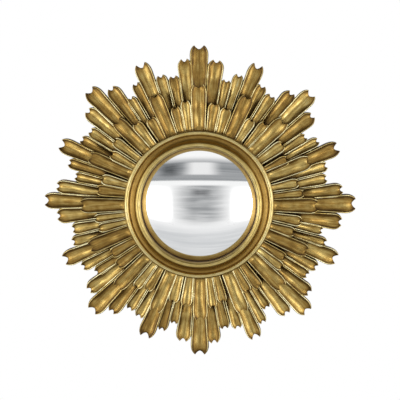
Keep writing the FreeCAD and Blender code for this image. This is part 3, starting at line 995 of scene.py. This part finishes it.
def studio_card(card):
    """Stands a card in the studio, where only the glass and the gilding see it."""
    corner, across, up = Vector(card.corner), Vector(card.across), Vector(card.up)
    spots = ((0, 0), (1, 0), (1, 1), (0, 1))
    bm = bmesh.new()
    face = bm.faces.new([bm.verts.new(corner + a * across + b * up) for a, b in spots])
    uv = bm.loops.layers.uv.new("card")
    for loop, spot in zip(face.loops, spots):
        loop[uv].uv = spot
    stand = bpy.data.objects.new(card.name, plain_mesh(card.name, bm, card_paper(card)))
    bpy.context.scene.collection.objects.link(stand)
    stand.visible_camera = stand.visible_diffuse = stand.visible_shadow = False


def camera_at(view):
    """The photograph's view: a long lens a little above and to the right of the mirror's axis."""
    level = math.cos(view.elevation)
    back = Vector((math.sin(view.azimuth) * level, -math.cos(view.azimuth) * level, math.sin(view.elevation)))
    lens = bpy.data.cameras.new("camera")
    lens.lens, lens.sensor_width = view.lens, SENSOR_W
    lens.shift_x, lens.shift_y = VIEW_SHIFT
    lens.clip_start, lens.clip_end = CLIP
    camera = bpy.data.objects.new("camera", lens)
    camera.location = facing(0, 0, TIERS["lower"].tip) + back * view.distance
    camera.rotation_euler = (-back).to_track_quat("-Z", "Y").to_euler()
    bpy.context.scene.collection.objects.link(camera)
    bpy.context.scene.camera = camera


# ---- settings ----
def colour_setting(name, description, default):
    """A colour, given as sRGB hex."""
    return bpy.props.FloatVectorProperty(name=name, description=description, subtype="COLOR", size=4,
                                         default=linear(default), min=0.0, max=1.0)


def length_setting(name, description, default):
    """A length in metres."""
    return bpy.props.FloatProperty(name=name, description=description, default=default, min=0.0,
                                   unit="LENGTH", precision=5)


def angle_setting(name, description, degrees):
    """An angle, given in degrees."""
    return bpy.props.FloatProperty(name=name, description=description, default=math.radians(degrees),
                                   subtype="ANGLE")


class RaySettings(bpy.types.PropertyGroup):
    """Sizes of the carved rays"""
    rim_width: length_setting("Rim width", "Width of the raised rim beside each flute", 0.0018)
    flute_depth: length_setting("Flute depth", "Depth of the hollow down each ray", 0.0036)
    swell: length_setting("Swell", "How far the floor of a flute rises and falls along it", 0.0005)
    roll: angle_setting("Roll", "The most that a ray leans to one side", 2.5)
    seed: bpy.props.IntProperty(name="Seed", description="Which lean and tone each ray gets", default=7)


class GiltSettings(bpy.types.PropertyGroup):
    """Colours of the leaf and the wash, which also carry the painted highlight and shade"""
    # The rubbed edge is partly worn leaf and partly a painted highlight on the rims.
    rubbed_leaf_and_highlight: colour_setting("Rubbed edge", "Leaf worn bright on the rims", "#FAF0BE")
    leaf_light: colour_setting("Light leaf", "Leaf on the raised parts", "#CEB46C")
    leaf_deep: colour_setting("Deep leaf", "Leaf in the hollows", "#9F7D3C")
    # Wash and umber are partly real wash and brown back paint, partly painted shade in corners, on flanks and
    # at the lip.
    wash: colour_setting("Wash", "Thin brown wash over the leaf", "#664A22")
    umber_and_shade: colour_setting("Umber", "Thick wash in the corners", "#38240E")


class ViewSettings(bpy.types.PropertyGroup):
    """Camera and studio light"""
    azimuth: angle_setting("Azimuth", "Camera to the right of the mirror's axis", 2.0)
    elevation: angle_setting("Elevation", "Camera above the mirror's axis", 8.1)
    distance: length_setting("Distance", "Camera to the rays' tips", 1.475)
    lens: bpy.props.FloatProperty(name="Lens", description="Focal length in mm", default=94.3, min=10.0)
    surround: bpy.props.FloatProperty(name="Surround", description="Light from the white surround",
                                      default=0.55, min=0.0)
    side_power: bpy.props.FloatProperty(name="Side lamps", description="Power of the softboxes at the sides",
                                        default=4.0, min=0.0, unit="POWER")
    front_glow: bpy.props.FloatProperty(name="Lit walls", description="Brightness of the walls in front",
                                        default=5.5, min=0.0)
    top_power: bpy.props.FloatProperty(name="Top lamp", description="Power of the softbox above",
                                       default=1.5, min=0.0, unit="POWER")


class MirrorSettings(bpy.types.PropertyGroup):
    """All that a user would change"""
    rays: bpy.props.PointerProperty(type=RaySettings, name="Rays", description="Sizes of the carved rays")
    gilt: bpy.props.PointerProperty(type=GiltSettings, name="Gilding", description="Colours of leaf and wash")
    view: bpy.props.PointerProperty(type=ViewSettings, name="View", description="Camera and studio light")


def settings():
    """The mirror's settings in this scene."""
    return bpy.context.scene.sunburst_mirror


# ---- operators ----
class MIRROR_OT_lower_rays(bpy.types.Operator):
    """Carve and gild the back tier of 64 rays"""
    bl_idname = "mirror.lower_rays"
    bl_label = "Lower rays"

    def execute(self, context):
        chosen = settings()
        tier_of_rays("lower", gilt("lower", chosen.gilt), chosen.rays)
        return {"FINISHED"}


class MIRROR_OT_upper_rays(bpy.types.Operator):
    """Carve and gild the front tier of 48 rays"""
    bl_idname = "mirror.upper_rays"
    bl_label = "Upper rays"

    def execute(self, context):
        chosen = settings()
        tier_of_rays("upper", gilt("upper", chosen.gilt), chosen.rays)
        return {"FINISHED"}


class MIRROR_OT_bezel(bpy.types.Operator):
    """Turn and gild the ring moulding round the glass"""
    bl_idname = "mirror.bezel"
    bl_label = "Bezel"

    def execute(self, context):
        section, washes_and_shades = bezel_section()
        mesh = lathe("bezel_moulding", section, washes_and_shades, gilt("bezel", settings().gilt))
        put("bezel_moulding", mesh, "frame", "gilt_bezel", "bezel")
        return {"FINISHED"}


class MIRROR_OT_glass(bpy.types.Operator):
    """Slump and silver the convex glass"""
    bl_idname = "mirror.glass"
    bl_label = "Glass"

    def execute(self, context):
        put("convex_glass", glass_mesh(silvered_glass()), "frame", "mirror", "mirror_glass")
        return {"FINISHED"}


class MIRROR_OT_back(bpy.types.Operator):
    """Finish the carrier, board, pads and fixings at the back"""
    bl_idname = "mirror.back"
    bl_label = "Back"

    def execute(self, context):
        for node, finish in BACK_FINISHES.items():
            material = speckled(finish)
            slots = NODES[node].material_slots
            if not slots:
                NODES[node].data.materials.append(material)
            for place in slots:
                place.material = material
        zinc = speckled(ZINC)
        right = [(RING_W / 2, HANGER_Y), (RING_TIP_W / 2, HANGER_Y + RING_H)]
        left = [(-x, y) for x, y in reversed(right)]
        corners = [facing(x, y, RING_HEIGHT) for x, y in right + left]
        put("hanger_wire", bent_wire("hanger_wire", corners, zinc), "ring", "steel", "hanger_ring")
        put("screw_head", screw_head(zinc), "frame", "steel", "hanger_screw")
        return {"FINISHED"}


class MIRROR_OT_stage(bpy.types.Operator):
    """Set the camera, softboxes, floor and white surround"""
    bl_idname = "mirror.stage"
    bl_label = "Stage"

    def execute(self, context):
        view = settings().view
        context.scene.view_settings.view_transform = "Standard"
        camera_at(view)
        white_surround(view.surround)
        pale_floor()
        box_x, *box_yz = SIDE_BOX_AT
        wall_w, wall_h = LIT_WALL_SIZE
        for side, name in ((-1, "left"), (1, "right")):
            softbox(f"{name}_softbox", (side * box_x, *box_yz), SIDE_BOX_SIZE, view.side_power)
            corner = (side * LIT_WALL_X - wall_w / 2, LIT_WALL_Y, LIT_WALL_FOOT)
            studio_card(Card(f"{name}_lit_wall", corner, (wall_w, 0, 0), (0, 0, wall_h), "#FFFFFF",
                             (0.5, 0.5, 0.4, 0.4), glow=view.front_glow))
        softbox("top_softbox", TOP_BOX_AT, TOP_BOX_SIZE, view.top_power)
        for card in CARDS:
            studio_card(card)
        return {"FINISHED"}


class MIRROR_PT_panel(bpy.types.Panel):
    """Sizes, colours and steps of the mirror"""
    bl_idname = "MIRROR_PT_panel"
    bl_label = "Sunburst mirror"
    bl_space_type = "VIEW_3D"
    bl_region_type = "UI"
    bl_category = "Sunburst mirror"

    def draw(self, context):
        chosen = settings()
        for group in (chosen.rays, chosen.gilt, chosen.view):
            box = self.layout.box()
            for key in group.__annotations__:
                box.prop(group, key)
        for step in STEPS:
            self.layout.operator(step.bl_idname)


STEPS = (MIRROR_OT_stage, MIRROR_OT_lower_rays, MIRROR_OT_upper_rays, MIRROR_OT_bezel, MIRROR_OT_glass,
         MIRROR_OT_back)
CLASSES = (RaySettings, GiltSettings, ViewSettings, MirrorSettings, *STEPS, MIRROR_PT_panel)


def register():
    """Makes the settings, the steps and the panel known."""
    for cls in CLASSES:
        bpy.utils.register_class(cls)
    bpy.types.Scene.sunburst_mirror = bpy.props.PointerProperty(type=MirrorSettings)


def unregister():
    """Takes them away again."""
    del bpy.types.Scene.sunburst_mirror
    for cls in reversed(CLASSES):
        bpy.utils.unregister_class(cls)


def main():
    """Makes the whole mirror and its stage."""
    register()
    bpy.ops.mirror.stage()
    bpy.ops.mirror.lower_rays()
    bpy.ops.mirror.upper_rays()
    bpy.ops.mirror.bezel()
    bpy.ops.mirror.glass()
    bpy.ops.mirror.back()


if __name__ == "__main__":
    main()
